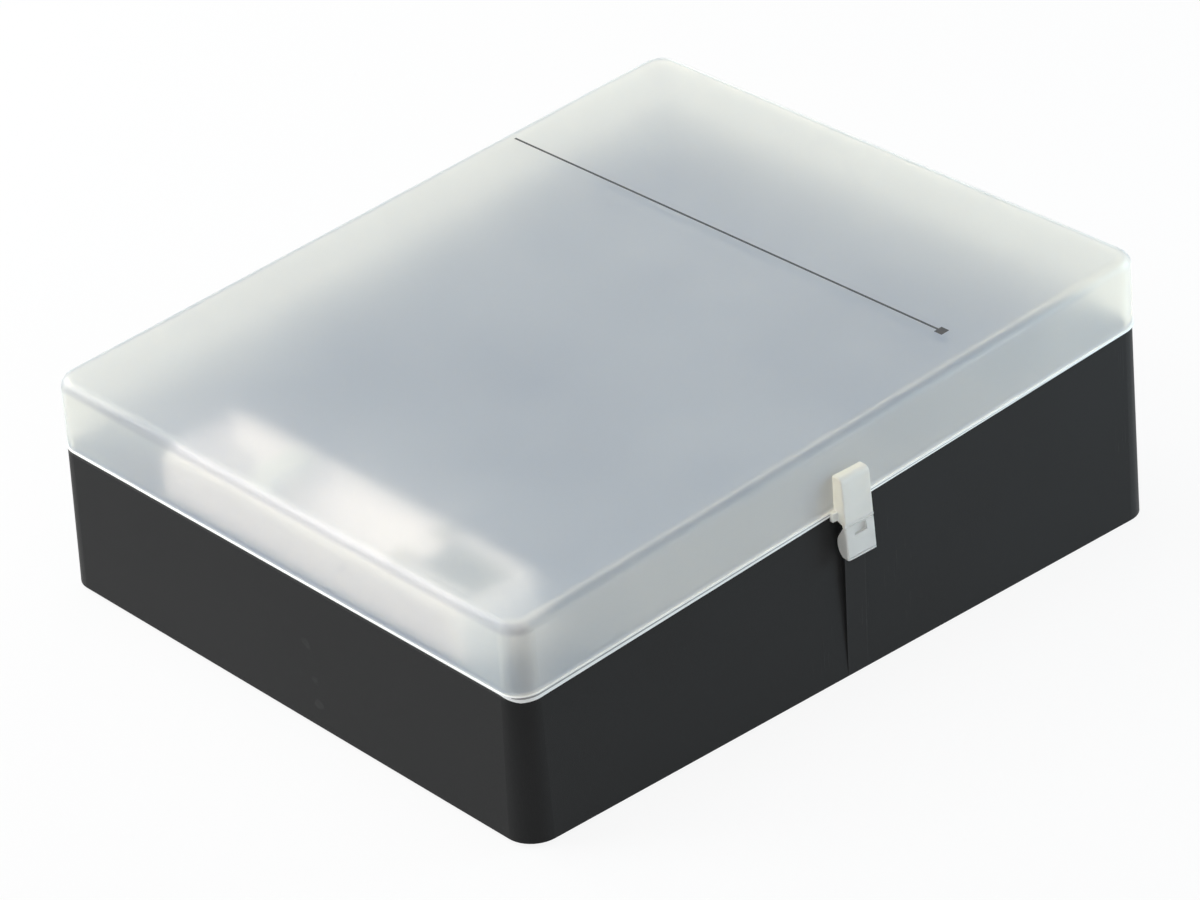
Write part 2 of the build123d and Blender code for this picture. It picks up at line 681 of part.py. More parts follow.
def tester_case():
    """Both shells of the tester as one, before they are parted."""
    outer = tester_block(0)
    rounded = outer.edges().filter_by(GeomType.LINE).filter_by(Axis.Y, reverse=True)
    arcs = outer.edges().filter_by(GeomType.CIRCLE)
    outer = fillet(rounded + arcs, TESTER_EDGE_R)
    case = outer - tester_block(TESTER_WALL)
    inside = tester_block(TESTER_WALL / 2)
    low = CRADLE_FLOOR - CRADLE_WALL
    high = TESTER_TOP - TESTER_WALL / 2
    y0, y1 = TESTER_FRONT, TESTER_BACK
    case += inside & block(TESTER_LEFT, CRADLE_RIGHT + CRADLE_WALL, y0, y1, low, high)
    ledge_z = BOARD_BOTTOM - LEDGE
    for x0, x1 in ((CRADLE_RIGHT, BOARD_LEFT + LEDGE), (BOARD_RIGHT - LEDGE, TESTER_RIGHT)):
        case += inside & block(x0, x1, y0, y1, ledge_z, BOARD_BOTTOM)
    for x, z in tester_screw_places():
        case += inside & bar_y(x, y0, y1, z, TESTER_BOSS_R)
    return case


def tester_cuts():
    """Everything that is cut out of the tester's shells."""
    slot = SLIDER_SLOT / 2
    slot_left = SLIDER_LEFT - SLIDER_TRAVEL - SLIDER_FIT
    slot_right = SLIDER_RIGHT + SLIDER_FIT
    slot_low = CRADLE_FLOOR - 2 * CRADLE_WALL
    half = WINDOW_Y / 2
    window_low = TESTER_TOP - 2 * TESTER_WALL
    cuts = [
        cradle_bar(CRADLE_LEFT, CRADLE_RIGHT, CRADLE_R),
        block(slot_left, slot_right, TESTER_MID - slot, TESTER_MID + slot, slot_low, TESTER_TOP),
        block(WINDOW_LEFT, WINDOW_RIGHT, TESTER_MID - half, TESTER_MID + half, window_low, TESTER_TOP),
    ]
    for y in terminal_places():
        cuts.append(rod(TERMINAL_X, y, BOARD_TOP, TESTER_TOP, TERMINAL_R + TERMINAL_FIT))
    for x, z in tester_screw_places():
        cuts.append(tester_screw(x, z, SCREW_FIT))
    return cuts


def cradle_bar(x0, x1, radius):
    """Round bar on the cradle's axis."""
    return bar_x(x0, x1, TESTER_MID, CRADLE_AXIS, radius)


def terminal_places():
    """Where the two terminals of a nine volt cell meet the tester, along Y."""
    return (TESTER_MID - TERMINAL_PITCH / 2, TESTER_MID + TERMINAL_PITCH / 2)


def tester_screw(x, z, extra):
    """Screw along Y with its head in the tester's front."""
    head_end = TESTER_FRONT + TESTER_SCREW_HEAD + extra
    tip = TESTER_MID + TESTER_SCREW_REACH + extra
    head = bar_y(x, TESTER_FRONT, head_end, z, TESTER_SCREW_HEAD_R + extra)
    return head + bar_y(x, TESTER_FRONT, tip, z, TESTER_SCREW_R + extra)


def tester_shells():
    """Front and back shell of the tester."""
    case = tester_case()
    for cut in tester_cuts():
        case -= cut
    parting = Plane(origin=(0, TESTER_MID, 0), x_dir=(1, 0, 0), z_dir=(0, -1, 0))
    front = split(case, bisect_by=parting, keep=Keep.TOP)
    back = split(case, bisect_by=parting, keep=Keep.BOTTOM)
    return front, back


def tester_window():
    """Clear lens flush with the tester's top."""
    half = WINDOW_Y / 2 - LENS_FIT
    left = WINDOW_LEFT + LENS_FIT
    right = WINDOW_RIGHT - LENS_FIT
    return block(left, right, TESTER_MID - half, TESTER_MID + half, TESTER_TOP - LENS_THICK, TESTER_TOP)


def tester_display():
    """Display panel between the lens and the board."""
    half = WINDOW_Y / 2 - DISPLAY_MARGIN
    left = WINDOW_LEFT + DISPLAY_MARGIN
    right = WINDOW_RIGHT - DISPLAY_MARGIN
    top = TESTER_TOP - LENS_THICK
    return block(left, right, TESTER_MID - half, TESTER_MID + half, BOARD_TOP, top)


def tester_board():
    """Circuit board on the shells' ledges."""
    half = TESTER_DEPTH / 2 - TESTER_WALL - BOARD_GAP
    front, back = TESTER_MID - half, TESTER_MID + half
    return block(BOARD_LEFT, BOARD_RIGHT, front, back, BOARD_BOTTOM, BOARD_TOP)


def nine_volt_terminals():
    """Two round contacts that stand on the board and reach through the top."""
    top = TESTER_TOP + TERMINAL_PROUD
    return [rod(TERMINAL_X, y, BOARD_TOP, top, TERMINAL_R) for y in terminal_places()]


def contact_plate(x):
    """Sheet metal contact that fits the cradle's round floor."""
    half = CONTACT_WIDTH / 2
    right = x + CONTACT_THICK
    top = TESTER_TOP - CONTACT_DROP
    sheet = block(x, right, TESTER_MID - half, TESTER_MID + half, CRADLE_FLOOR, top)
    return sheet & cradle_bar(x, right, CRADLE_R - SLIDER_FIT)


def test_slider():
    """Sliding jaw of the cradle, with a ridged thumb grip and a foot under the cradle's slot."""
    left, right = SLIDER_LEFT, SLIDER_RIGHT
    grip = SLIDER_GRIP_WIDTH / 2
    top = TESTER_TOP + SLIDER_PROUD
    jaw = cradle_bar(left, right, CRADLE_R - SLIDER_FIT)
    jaw &= block(left, right, TESTER_FRONT, TESTER_BACK, CRADLE_FLOOR, TESTER_TOP)
    jaw += block(left, right, TESTER_MID - grip, TESTER_MID + grip, CRADLE_AXIS - CRADLE_R / 2, top)
    pitch = SLIDER_LENGTH / (SLIDER_RIDGES + 1)
    for ridge in range(SLIDER_RIDGES):
        jaw -= bar_y(left + pitch * (ridge + 1), TESTER_FRONT, TESTER_BACK, top, pitch / 4)
    neck = SLIDER_NECK / 2
    foot = SLIDER_FOOT_WIDTH / 2
    foot_top = CRADLE_FLOOR - CRADLE_WALL - SLIDER_FIT
    foot_low = foot_top - SLIDER_FOOT_THICK
    jaw += block(left, right, TESTER_MID - neck, TESTER_MID + neck, foot_low, CRADLE_FLOOR + CRADLE_R / 4)
    jaw += block(left, right, TESTER_MID - foot, TESTER_MID + foot, foot_low, foot_top)
    return jaw


def spring_points():
    """Ends and middles of the spring's half turns, each a half circle tilted along X."""
    x0 = CRADLE_LEFT + SPRING_END_GAP + SPRING_WIRE_R
    x1 = SLIDER_LEFT - SPRING_END_GAP - SPRING_WIRE_R
    z = CRADLE_FLOOR + SPRING_FLOOR_GAP + SPRING_WIRE_R + SPRING_R
    halves = 2 * SPRING_TURNS
    step = (x1 - x0) / halves
    bulge = hypot(SPRING_R, step / 2)
    turns = []
    for half in range(halves):
        side = 1 if half % 2 == 0 else -1
        start = (x0 + half * step, TESTER_MID, z - side * SPRING_R)
        middle = (x0 + (half + 0.5) * step, TESTER_MID + side * bulge, z)
        end = (x0 + (half + 1) * step, TESTER_MID, z + side * SPRING_R)
        turns.append((start, middle, end))
    return turns


def slider_spring():
    """Coil spring between the slider and the cradle's end, one unbroken wire."""
    turns = spring_points()
    path = Wire([ThreePointArc(*turn) for turn in turns])
    section = Plane(origin=turns[0][0], z_dir=(0, 1, 0)) * Circle(SPRING_WIRE_R)
    return sweep(section, path=path)


def spring_gap():
    """Least clear distance between neighbouring turns, measured on points of the wire's middle."""
    wire = Wire([ThreePointArc(*turn) for turn in spring_points()])
    per_turn = 24
    count = per_turn * SPRING_TURNS
    points = [wire.position_at(i / count) for i in range(count + 1)]
    pairs = [(a, b) for i, a in enumerate(points) for b in points[i + per_turn // 2 :]]
    return min((a - b).length for a, b in pairs) - 2 * SPRING_WIRE_R


def make_nodes():
    """Every piece of the box by its node's name."""
    front_pin, back_pin = [hinge_pin(along) for along in hinge_centres()]
    front_shell, back_shell = tester_shells()
    nodes = {
        "base_shell": base_shell(),
        "bottom_plate": bottom_plate(),
        "bottom_screws": bottom_screws(),
        "rubber_feet": rubber_feet(),
        "lid": lid(),
        "hinge_pin_front": front_pin,
        "hinge_pin_back": back_pin,
        "latch_bracket": latch_bracket(),
        "latch_flap": latch_flap(),
        "coin_cell_cup": coin_cell_cup(),
        "tester_front_shell": front_shell,
        "tester_back_shell": back_shell,
        "tester_window": tester_window(),
        "tester_display": tester_display(),
        "tester_board": tester_board(),
        "tester_screws": [tester_screw(x, z, 0) for x, z in tester_screw_places()],
        "nine_volt_terminals": nine_volt_terminals(),
        "fixed_contact": contact_plate(CRADLE_RIGHT - CONTACT_THICK),
        "slider_contact": contact_plate(SLIDER_RIGHT),
        "test_slider": test_slider(),
        "slider_spring": slider_spring(),
    }
    for name in TRAY_ROWS:
        nodes[name] = cell_tray(name)
    return nodes


def main():
    os.makedirs("parts", exist_ok=True)
    for name, shape in make_nodes().items():
        pieces = shape if isinstance(shape, list) else [shape]
        solids = [solid for piece in pieces for solid in piece.solids()]
        export_step(Compound(children=solids), f"parts/{name}.step")
    print(f"least gap between the spring's turns: {spring_gap():.2f} mm")


if __name__ == "__main__":
    main()
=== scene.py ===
import math

import bpy
from mathutils import Matrix, Vector


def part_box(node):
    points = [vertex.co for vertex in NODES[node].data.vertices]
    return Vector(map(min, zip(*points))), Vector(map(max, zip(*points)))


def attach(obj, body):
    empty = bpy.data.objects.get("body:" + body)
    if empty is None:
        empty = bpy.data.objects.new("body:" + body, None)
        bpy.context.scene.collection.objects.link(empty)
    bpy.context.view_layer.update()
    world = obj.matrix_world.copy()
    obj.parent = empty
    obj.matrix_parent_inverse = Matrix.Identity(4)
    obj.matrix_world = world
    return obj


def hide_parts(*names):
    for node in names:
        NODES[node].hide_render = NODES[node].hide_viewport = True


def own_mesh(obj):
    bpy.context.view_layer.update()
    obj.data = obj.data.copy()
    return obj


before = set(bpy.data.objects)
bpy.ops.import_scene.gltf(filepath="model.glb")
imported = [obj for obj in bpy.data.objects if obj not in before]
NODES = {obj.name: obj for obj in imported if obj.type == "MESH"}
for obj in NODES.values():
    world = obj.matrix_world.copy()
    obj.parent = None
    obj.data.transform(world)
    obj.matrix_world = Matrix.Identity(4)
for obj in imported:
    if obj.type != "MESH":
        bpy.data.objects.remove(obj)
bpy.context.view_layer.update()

MM = 0.001

# Sizes of the box that the finishes and the scene's own pieces follow
BOX_LENGTH = 200 * MM
FOOT_PROUD = 0.8 * MM
RIM_FRONT = 37 * MM  # base's height at the low front
RIM_CLIMB = 14.6 * MM  # from the front to the tall back
LID_HEIGHT = 19 * MM
LID_HALF_X = 84.34 * MM  # lid's outline at the rim
LID_HALF_Y = 98.84 * MM
LID_CORNER = 6.04 * MM

# Slope of the rim and of the lid's top, and their heights at mid length
LID_RISE = RIM_CLIMB / BOX_LENGTH
RIM_MID = FOOT_PROUD + RIM_FRONT + RIM_CLIMB / 2
LID_TOP_MID = RIM_MID + LID_HEIGHT

# Printed line on the lid's top, in millimetres
STRIPE_Y = 44.6
STRIPE_HALF = 0.29
STRIPE_LEFT, STRIPE_RIGHT = -79.6, 70.2
SQUARE_HALF = 1.25
INK_SUNK, INK_PROUD = -0.02, 0.03

# Fine lip along the lid's lower edge, in millimetres
LIP_RADIUS = 0.37
LIP_THINNING = 0.06  # of the radius, where the lip hangs lowest
LIP_PROUD = 0.24  # of the lower rim, where the lip hangs lowest
LIP_INSET = 0.08  # from the lid's outline
LIP_LIFT = 0.42  # over the rim
LIP_LEAST_DROP = 0.25  # at the latch
FULL_GROOVE_DROP = 0.6  # the groove is deepest from this drop on
PAINTED_SHADE_DROP = 0.5  # and gets painted shade from this one on

# Studio: soft lamps with place and side in metres, watts and tint
COOL, WARM, SKY_BLUE = (0.94, 0.975, 1.0), (1.0, 0.97, 0.91), (0.68, 0.88, 1.0)
LAMPS = {
    "key_lamp": ((-0.68, -0.78, 0.67), 0.6, 7.4, COOL),
    "top_lamp": ((-0.2, -0.15, 1.3), 0.8, 5.8, COOL),
    "side_lamp": ((0.37, 0.52, 0.13), 0.25, 2.4, SKY_BLUE),
    "back_lamp": ((-0.8, 0.9, 0.2), 0.4, 2.4, WARM),
    "left_lamp": ((-1.0, -0.24, 0.25), 0.4, 4.8, WARM),
    "glint_lamp": ((0.57, -0.7, 0.77), 0.1, 0.3, COOL),
}
LAMP_AIM = (0, 0, 0.04)
FLOOR_HALF = 6.0
FLOOR_LEVEL = -0.0002  # just under the feet
FLOOR_WHITE = 0.90  # share of plain white that the camera sees
WORLD_LIGHT = 0.34  # that the white surroundings give

# Camera: its place, its axes in the box's frame, and its lens
CAMERA_PLACE = (0.8011, -0.6667, 0.6243)
CAMERA_RIGHT = (0.6645, 0.7448, -0.0612)
CAMERA_UP = (-0.3365, 0.3713, 0.8655)
CAMERA_BACK = (0.6673, -0.5545, 0.4973)
CAMERA_LENS = 150.18
CAMERA_SENSOR = 36.0

# Plastic lets light through with this refraction
PLASTIC_IOR = 1.45


class Tone:
    """An output of a material's nodes. Sums of values are written as plain expressions."""

    def __init__(self, tree, socket=None):
        self.tree = tree
        self.socket = socket

    def node(self, kind, settings, sockets, out=0):
        """Adds a node: its settings first, then the values or links of its sockets."""
        node = self.tree.nodes.new("ShaderNode" + kind)
        for name, value in settings.items():
            setattr(node, name, value)
        for name, value in sockets.items():
            if isinstance(value, Tone):
                self.tree.links.new(value.socket, node.inputs[name])
            else:
                node.inputs[name].default_value = value
        return Tone(self.tree, node.outputs[out] if node.outputs else None)

    def maths(self, operation, first, second):
        return self.node("Math", {"operation": operation}, {0: first, 1: second})

    def __add__(self, other):
        return self.maths("ADD", self, other)

    def __radd__(self, other):
        return self.maths("ADD", other, self)

    def __sub__(self, other):
        return self.maths("SUBTRACT", self, other)

    def __rsub__(self, other):
        return self.maths("SUBTRACT", other, self)

    def __mul__(self, other):
        return self.maths("MULTIPLY", self, other)

    def __rmul__(self, other):
        return self.maths("MULTIPLY", other, self)

    def __truediv__(self, other):
        return self.maths("DIVIDE", self, other)

    def most(self, other):
        return self.maths("MAXIMUM", self, other)

    def spread(self, low, high):
        """Takes low to high onto 0 to 1, and holds it there."""
        sockets = {"Value": self, "From Min": low, "From Max": high, "To Min": 0.0, "To Max": 1.0}
        return self.node("MapRange", {"interpolation_type": "SMOOTHSTEP"}, sockets)

    def mix(self, first, second):
        """First colour where this is 0, second where it is 1."""
        return self.node("Mix", {"data_type": "RGBA"}, {0: self, 6: first, 7: second}, 2)

    def noise(self, scale, detail=3.0, rough=0.5, stretch=(1, 1, 1), turn=(0, 0, 0)):
        """Noise over this place, with its features about 1 / scale metres across."""
        place = self.node("Mapping", {}, {"Vector": self, "Scale": stretch, "Rotation": turn})
        sockets = {"Vector": place, "Scale": scale, "Detail": detail, "Roughness": rough}
        return self.node("TexNoise", {}, sockets)

    def scuffs(self, turn, density):
        """Fine straight scratches that run one way, gathered in patches."""
        lines = self.noise(60, 2.0, 0.6, (1, 45, 1), (0, 0, turn)).spread(0.665, 0.70)
        patches = self.noise(38, 2.0).spread(0.62 - density, 0.72 - density)
        return lines * patches

    def worn_edges(self, radius):
        """High along outside edges, as far in as the radius."""
        rounded = self.node("Bevel", {"samples": 6}, {"Radius": radius})
        flat = self.node("NewGeometry", {}, {}, "Normal")
        along = self.node("VectorMath", {"operation": "DOT_PRODUCT"}, {0: rounded, 1: flat}, "Value")
        return (1 - along).spread(0.01, 0.12)

    def bump(self, depth):
        """Normal of a surface with this height, in metres at a height of 1."""
        return self.node("Bump", {}, {"Height": self, "Distance": depth, "Strength": 1.0})

    def parts(self):
        """X, Y and Z of a place."""
        return [self.node("SeparateXYZ", {}, {"Vector": self}, out) for out in "XYZ"]

    def principled(self, sockets):
        return self.node("BsdfPrincipled", {}, sockets)

    def surface(self):
        """Makes this shader the material's surface."""
        self.node("OutputMaterial", {}, {"Surface": self})


def grey(level, warmth=0.0):
    """An opaque grey, warmer above 0 and cooler below."""
    return (level * (1 + warmth), level, level * (1 - warmth), 1.0)


def new_finish(name):
    """A new material, and the places of its surface in metres in the box's own frame."""
    material = bpy.data.materials.new(name)
    material.use_nodes = True
    material.node_tree.nodes.clear()
    return material, Tone(material.node_tree).node("TexCoord", {}, {}, "Object")


def charcoal_skirt():
    """Satin charcoal of the base: a fine spark-eroded grain, a few scuffs and edges rubbed smooth."""
    material, place = new_finish("charcoal_skirt")
    cloud = place.noise(24, 4.0).spread(0.3, 0.7)
    grain = place.noise(5200, 2.0, 0.6)
    scuffs = place.scuffs(0.5, 0.02).most(place.scuffs(2.1, 0.0))
    worn = place.worn_edges(0.0007)
    colour = cloud.mix(grey(0.0145, -0.02), grey(0.0175, -0.02))
    colour = (grain.spread(0.4, 0.75) * 0.5).mix(colour, grey(0.024, -0.02))
    colour = (scuffs * 0.2).mix(colour, grey(0.04))
    colour = (worn * 0.4).mix(colour, grey(0.042))
    rough = 0.46 + cloud * 0.07 - worn * 0.1 - scuffs * 0.08
    normal = (grain + scuffs * 0.6).bump(0.00004)
    sockets = {"Base Color": colour, "Roughness": rough, "Normal": normal}
    place.principled(sockets | {"Specular IOR Level": 0.12}).surface()
    return material


def height_over_rim(place):
    """Height over the sloped line where the lid meets the base, in metres."""
    _, y, z = place.parts()
    return z - y * LID_RISE - RIM_MID


def wall_over_foot(place):
    """0 at the foot of the lid's wall, where it is milkiest, and 1 from a little over it."""
    return height_over_rim(place).spread(0.6 * MM, 2.2 * MM)


def front_edge_painted_shade(place):
    """1 on the rounded top edge along the lid's front, where painted shade darkens the lid's milk and
    tint.
    """
    _, y, _ = place.parts()
    height = height_over_rim(place)
    rounded = height.spread(LID_HEIGHT - 3.6 * MM, LID_HEIGHT - 2.0 * MM)
    flat_top = height.spread(LID_HEIGHT - 0.9 * MM, LID_HEIGHT - 0.1 * MM)
    front = (y * -1).spread(LID_HALF_Y - 5 * MM, LID_HALF_Y - 3 * MM)
    return (rounded - flat_top) * front


def lit_through(place, shader, share):
    """Lets this share of the lamps' light pass, as a thin milky wall does."""
    shadow = place.node("LightPath", {}, {}, "Is Shadow Ray")
    bare = place.node("BsdfTransparent", {}, {"Color": (0.98, 0.95, 0.87, 1)})
    return place.node("MixShader", {}, {0: shadow * share, 1: shader, 2: bare})


def frosted_lid():
    """Milky outside of the lid: cool where it throws light back, warm where light comes through."""
    material, place = new_finish("frosted_lid")
    cloud = place.noise(15, 3.0)
    patches = cloud.spread(0.3, 0.7)
    grain = place.noise(3600, 2.0, 0.6)
    scuffs = place.scuffs(0.9, 0.0).most(place.scuffs(2.5, 0.02))
    wall, edge = wall_over_foot(place), front_edge_painted_shade(place)
    milk = cloud.spread(0.25, 0.75).mix((0.53, 0.715, 0.985, 1), (0.57, 0.745, 0.99, 1))
    milk = (scuffs * 0.2).mix(milk, grey(0.9))
    milk = wall.mix((0.70, 0.77, 0.86, 1), milk)
    # Painted shade: darker milk and tint on the front's rounded top edge, to dim the light that comes
    # through there.
    milk = edge.mix(milk, (0.40, 0.52, 0.71, 1))
    tint = edge.mix((0.995, 0.875, 0.61, 1), (0.75, 0.69, 0.60, 1))
    normal = (grain * 0.6 + cloud * 4.0).bump(0.00003)
    satin = {"Roughness": 0.42 + patches * 0.06 + scuffs * 0.1, "Normal": normal}
    satin |= {"Specular IOR Level": 0.15}
    coat = {"Coat Weight": 0.1, "Coat Roughness": 0.3}
    back = place.principled(satin | coat | {"Base Color": milk})
    glow = place.node("BsdfTranslucent", {}, {"Color": (0.99, 0.89, 0.75, 1), "Normal": normal})
    haze = place.node("MixShader", {}, {0: 0.30, 1: back, 2: glow})
    through = {"Base Color": tint, "Transmission Weight": 1.0, "IOR": PLASTIC_IOR}
    clear = place.principled(satin | through)
    share = (0.58 - patches * 0.03 - scuffs * 0.1) * (0.3 + wall * 0.7)
    milky = place.node("MixShader", {}, {0: share, 1: haze, 2: clear})
    lit_through(place, milky, 0.75).surface()
    return material


def polished_inside():
    """Inside of the lid, clear and a little wavy from the mould."""
    material, place = new_finish("polished_inside")
    waves = place.noise(60, 3.0)
    sockets = {"Base Color": (0.985, 0.98, 0.96, 1), "Roughness": 0.22 + waves * 0.1}
    sockets |= {"Normal": waves.bump(0.0001), "Transmission Weight": 1.0, "IOR": PLASTIC_IOR}
    lit_through(place, place.principled(sockets), 0.95).surface()
    return material


def plain_finish(name, scale, detail, rough, colours, roughness, depth):
    """An even finish: two colours in soft patches, whose noise also roughens the surface."""
    material, place = new_finish(name)
    cloud = place.noise(scale, detail, rough)
    low, high, first, second = colours
    least, more = roughness
    sockets = {"Base Color": cloud.spread(low, high).mix(first, second)}
    sockets |= {"Roughness": least + cloud * more, "Normal": cloud.bump(depth)}
    place.principled(sockets).surface()
    return material


def painted_edge_light():
    """Lower edge of the lid, painted near white as the light that runs in the plastic and comes out
    there.
    """
    colours = (0.3, 0.7, (0.90, 0.91, 0.90, 1), (0.96, 0.965, 0.95, 1))
    return plain_finish("painted_edge_light", 90, 3.0, 0.5, colours, (0.3, 0.1), 0.00002)


def painted_groove_shade():
    """Painted shade on the overhung half of the groove in the lid's lower lip."""
    colours = (0.3, 0.7, grey(0.30), grey(0.38))
    return plain_finish("painted_groove_shade", 400, 3.0, 0.5, colours, (0.6, 0.2), 0.00002)


def black_ink():
    """Screen-printed ink, thin and a little uneven."""
    colours = (0.35, 0.75, grey(0.018, -0.08), grey(0.034, -0.08))
    return plain_finish("black_ink", 900, 4.0, 0.6, colours, (0.42, 0.15), 0.00001)


def natural_latch():
    """Natural polypropylene, a thicker piece of the same milky plastic."""
    material, place = new_finish("natural_latch")
    cloud = place.noise(160, 3.0)
    grain = place.noise(3600, 2.0, 0.6)
    worn = place.worn_edges(0.0004)
    colour = cloud.spread(0.3, 0.7).mix((0.94, 0.93, 0.90, 1), (0.97, 0.96, 0.93, 1))
    colour = (worn * 0.6).mix(colour, grey(0.96))
    sockets = {"Base Color": colour, "Roughness": 0.36 + cloud * 0.12, "Normal": grain.bump(0.00002)}
    place.principled(sockets | {"Transmission Weight": 0.45, "IOR": PLASTIC_IOR}).surface()
    return material


def matt_tray():
    """Matt charcoal of the cell trays, with a little dust and rubbing from the cells."""
    material, place = new_finish("matt_tray")
    cloud = place.noise(45, 4.0)
    grain = place.noise(3000, 3.0, 0.65)
    scuffs = place.scuffs(0.2, 0.08).most(place.scuffs(1.7, 0.05))
    worn = place.worn_edges(0.0006)
    dust = cloud.spread(0.55, 0.8) * grain.spread(0.45, 0.6)
    colour = cloud.spread(0.3, 0.7).mix(grey(0.028), grey(0.04))
    colour = (dust * 0.25).mix(colour, grey(0.14, 0.05))
    colour = (worn * 0.5 + scuffs * 0.4).mix(colour, grey(0.085))
    sockets = {"Base Color": colour, "Roughness": 0.58 + dust * 0.25 - worn * 0.12}
    place.principled(sockets | {"Normal": (grain + scuffs * 0.5).bump(0.00005)}).surface()
    return material


def satin_white():
    """Satin white of the tester's shells."""
    material, place = new_finish("satin_white")
    cloud = place.noise(30, 3.0)
    grain = place.noise(4000, 2.0, 0.6)
    scuffs = place.scuffs(1.2, 0.03)
    worn = place.worn_edges(0.0005)
    colour = cloud.spread(0.3, 0.7).mix((0.82, 0.785, 0.88, 1), (0.865, 0.83, 0.92, 1))
    colour = (scuffs * 0.5 + worn * 0.25).mix(colour, grey(0.66, 0.02))
    sockets = {"Base Color": colour, "Roughness": 0.38 + cloud * 0.1 + scuffs * 0.15}
    place.principled(sockets | {"Normal": (grain + scuffs * -0.5).bump(0.00002)}).surface()
    return material


def slider_grey():
    """Pale grey of the test slider, polished on its grip by fingers."""
    material, place = new_finish("slider_grey")
    cloud = place.noise(200, 3.0)
    grain = place.noise(4000, 2.0, 0.6)
    worn = place.worn_edges(0.0004)
    colour = cloud.spread(0.3, 0.7).mix(grey(0.68, -0.02), grey(0.73, -0.02))
    colour = (worn * 0.5).mix(colour, grey(0.80))
    sockets = {"Base Color": colour, "Roughness": 0.45 - worn * 0.15 + cloud * 0.1}
    place.principled(sockets | {"Normal": grain.bump(0.00003)}).surface()
    return material


def clear_window():
    """Clear lens over the display, with hairline scratches."""
    material, place = new_finish("clear_window")
    scuffs = place.scuffs(0.4, 0.1)
    sockets = {"Base Color": (0.95, 0.97, 0.96, 1), "Roughness": 0.03 + scuffs * 0.25}
    sockets |= {"Normal": scuffs.bump(0.00001), "Transmission Weight": 1.0, "IOR": PLASTIC_IOR}
    lit_through(place, place.principled(sockets), 0.9).surface()
    return material


def inside_frame(across, along, side, end):
    """1 inside a rectangle that keeps a margin from the edges, given as shares of the sides."""
    soft = 0.006
    inside = across.spread(side, side + soft) * (1 - across.spread(1 - side - soft, 1 - side))
    return inside * along.spread(end, end + soft) * (1 - along.spread(1 - end - soft, 1 - end))


def level_display():
    """Liquid crystal panel that shows a row of level bars in an outlined cell."""
    material, place = new_finish("level_display")
    low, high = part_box("tester_display")
    x, y, _ = place.parts()
    across = (x - low.x) / (high.x - low.x)
    along = (y - low.y) / (high.y - low.y)
    bar_count, steps_across, first_step = 6, 8, 0.9
    step = across * steps_across - first_step
    within = step.spread(-0.02, 0.02) * (bar_count - step).spread(-0.02, 0.02)
    phase = step.node("Math", {"operation": "FRACT"}, {0: step})
    bars = phase.spread(0.12, 0.16) * (1 - phase.spread(0.78, 0.82)) * within
    bars = bars * along.spread(0.30, 0.32) * (1 - along.spread(0.68, 0.70))
    outer = inside_frame(across, along, 0.06, 0.20)
    inner = inside_frame(across, along, 0.075, 0.235)
    ink = bars.most(outer - inner)
    cloud = place.noise(300, 2.0)
    panel = cloud.mix((0.74, 0.77, 0.72, 1), (0.79, 0.82, 0.77, 1))
    colour = (ink * 0.93).mix(panel, (0.03, 0.035, 0.035, 1))
    place.principled({"Base Color": colour, "Roughness": 0.16 + cloud * 0.08}).surface()
    return material


def green_board():
    """Circuit board with copper tracks under green lacquer."""
    material, place = new_finish("green_board")
    grid = {"Vector": place, "Scale": 320.0, "Mortar Size": 0.06}
    tracks = place.node("TexBrick", {"offset": 0.35}, grid, "Fac")
    cloud = place.noise(220, 3.0)
    colour = cloud.mix((0.012, 0.07, 0.03, 1), (0.02, 0.10, 0.045, 1))
    colour = (tracks * 0.7).mix(colour, (0.06, 0.22, 0.08, 1))
    sockets = {"Base Color": colour, "Roughness": 0.3 + cloud * 0.15, "Normal": tracks.bump(0.00003)}
    place.principled(sockets).surface()
    return material


def metal(name, tint, roughness, stretch):
    """Bare or plated metal with drawn lines, a few dull spots and bright edges."""
    material, place = new_finish(name)
    lines = place.noise(900, 3.0, 0.6, stretch)
    spots = place.noise(420, 4.0).spread(0.56, 0.72)
    worn = place.worn_edges(0.0003)
    dull = tuple(level * 0.6 for level in tint[:3]) + (1.0,)
    colour = (spots * 0.5).mix(tint, dull)
    colour = (worn * 0.5).mix(colour, grey(0.85))
    rough = roughness + spots * 0.18 + lines * 0.12 - worn * 0.05
    sockets = {"Base Color": colour, "Metallic": 1.0, "Roughness": rough, "Normal": lines.bump(0.00002)}
    place.principled(sockets).surface()
    return material


def matt_rubber():
    """Black rubber of the feet, greyed in soft patches."""
    material, place = new_finish("matt_rubber")
    grain = place.noise(2400, 4.0, 0.7)
    cloud = place.noise(150, 3.0)
    colour = cloud.spread(0.35, 0.75).mix(grey(0.016), grey(0.04, 0.03))
    sockets = {"Base Color": colour, "Roughness": 0.8 + cloud * 0.15, "Normal": grain.bump(0.00008)}
    place.principled(sockets).surface()
    return material


def seen_share(tone):
    """1 for rays from the camera, and for those that glossy or clear surfaces show."""
    kinds = ("Is Camera Ray", "Is Glossy Ray", "Is Transmission Ray")
    camera_ray, glossy_ray, clear_ray = [tone.node("LightPath", {}, {}, kind) for kind in kinds]
    return camera_ray.most(glossy_ray).most(clear_ray)


def pale_floor():
    """White studio floor that keeps a light shadow of the box."""
    material, place = new_finish("pale_floor")
    cloud = place.noise(3, 3.0)
    paper = cloud.mix(grey(0.80), grey(0.83))
    matt = place.principled({"Base Color": paper, "Roughness": 0.9, "Specular IOR Level": 0.0})
    white = place.node("Emission", {}, {"Color": grey(1.0), "Strength": 1.0})
    place.node("MixShader", {}, {0: seen_share(place) * FLOOR_WHITE, 1: matt, 2: white}).surface()
    return material


def add_object(name, data):
    """A new object in the scene."""
    thing = bpy.data.objects.new(name, data)
    bpy.context.scene.collection.objects.link(thing)
    return thing


